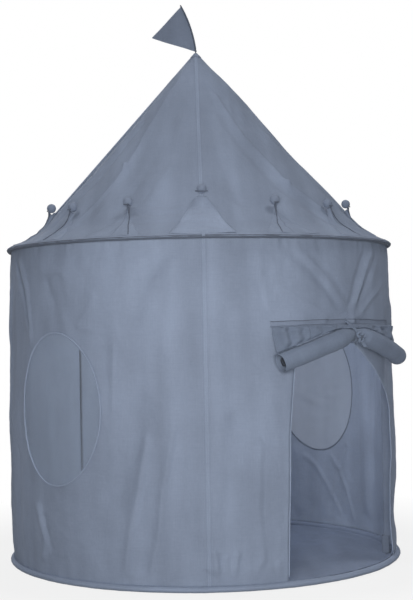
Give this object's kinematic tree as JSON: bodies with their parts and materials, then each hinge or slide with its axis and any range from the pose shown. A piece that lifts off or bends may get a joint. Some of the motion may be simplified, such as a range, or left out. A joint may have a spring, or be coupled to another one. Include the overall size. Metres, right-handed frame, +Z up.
{
  "type": "play tent",
  "caption": "Round cloth play tent with a cone roof, a crown of points with balls, mesh windows, a rolled door flap and a pennant on the peak.",
  "frame": {"origin": "centre of the floor's underside, where the tent stands", "axes": "+Z up through the peak, -Y towards the front seam, +X to the right as one faces that seam"},
  "size_m": [1.0225, 1.0538, 1.4567],
  "materials": {
    "cloth": "plain woven cotton canvas",
    "crown": "plain woven cotton canvas",
    "door_cloth": "plain woven cotton canvas",
    "floor_cloth": "plain woven cotton canvas",
    "flag_cloth": "plain woven cotton canvas",
    "net": "fine open mesh",
    "rod": "glass-fibre rod, satin",
    "plastic": "moulded, satin",
    "rubber": "matt",
    "joiner": "drawn tube"
  },
  "bodies": {
    "tent": {"base_hoop": "rod", "base_joiner": "joiner", "base_sleeve": "cloth", "crown_ball_01": "crown", "crown_ball_02": "crown", "crown_ball_03": "crown", "crown_ball_04": "crown", "crown_ball_05": "crown", "crown_ball_06": "crown", "crown_ball_07": "crown", "crown_ball_08": "crown", "crown_ball_09": "crown", "crown_ball_10": "crown", "crown_ball_11": "crown", "crown_ball_12": "crown", "crown_ball_13": "crown", "crown_ball_14": "crown", "crown_trim": "crown", "door_band": "door_cloth", "door_binding": "door_cloth", "door_flap": "door_cloth", "eave_hoop": "rod", "eave_joiner": "joiner", "eave_sleeve": "cloth", "elbow_1": "plastic", "elbow_2": "plastic", "elbow_3": "plastic", "floor": "floor_cloth", "foot_pocket_1": "cloth", "foot_pocket_2": "cloth", "foot_pocket_3": "cloth", "hub": "plastic", "rod_tip_1": "rubber", "rod_tip_2": "rubber", "rod_tip_3": "rubber", "roof_back_left": "cloth", "roof_back_right": "cloth", "roof_cap": "cloth", "roof_front_left": "cloth", "roof_front_right": "cloth", "roof_rod_1": "rod", "roof_rod_2": "rod", "roof_rod_3": "rod", "wall_back_left": "cloth", "wall_back_right": "cloth", "wall_front_left": "cloth", "wall_front_right": "cloth", "wall_rod_1": "rod", "wall_rod_2": "rod", "wall_rod_3": "rod", "window_net_back": "net", "window_net_left": "net", "window_piping_back": "cloth", "window_piping_left": "cloth"},
    "rolled_flap": {"door_roll": "door_cloth", "door_tie": "door_cloth"},
    "pennant": {"flag": "flag_cloth", "flag_rod": "rod"}
  },
  "joints": [
    {"name": "door_unroll", "type": "slide", "parent": "tent", "child": "rolled_flap", "axis": [0, 0, -1], "range_m": [0, 0.485], "deforming": ["door_flap"]},
    {"name": "pennant_turn", "type": "hinge", "parent": "tent", "child": "pennant", "pos_m": [0, 0, 1.33], "axis": [0, 0, 1], "range_deg": [-90, 90]}
  ]
}
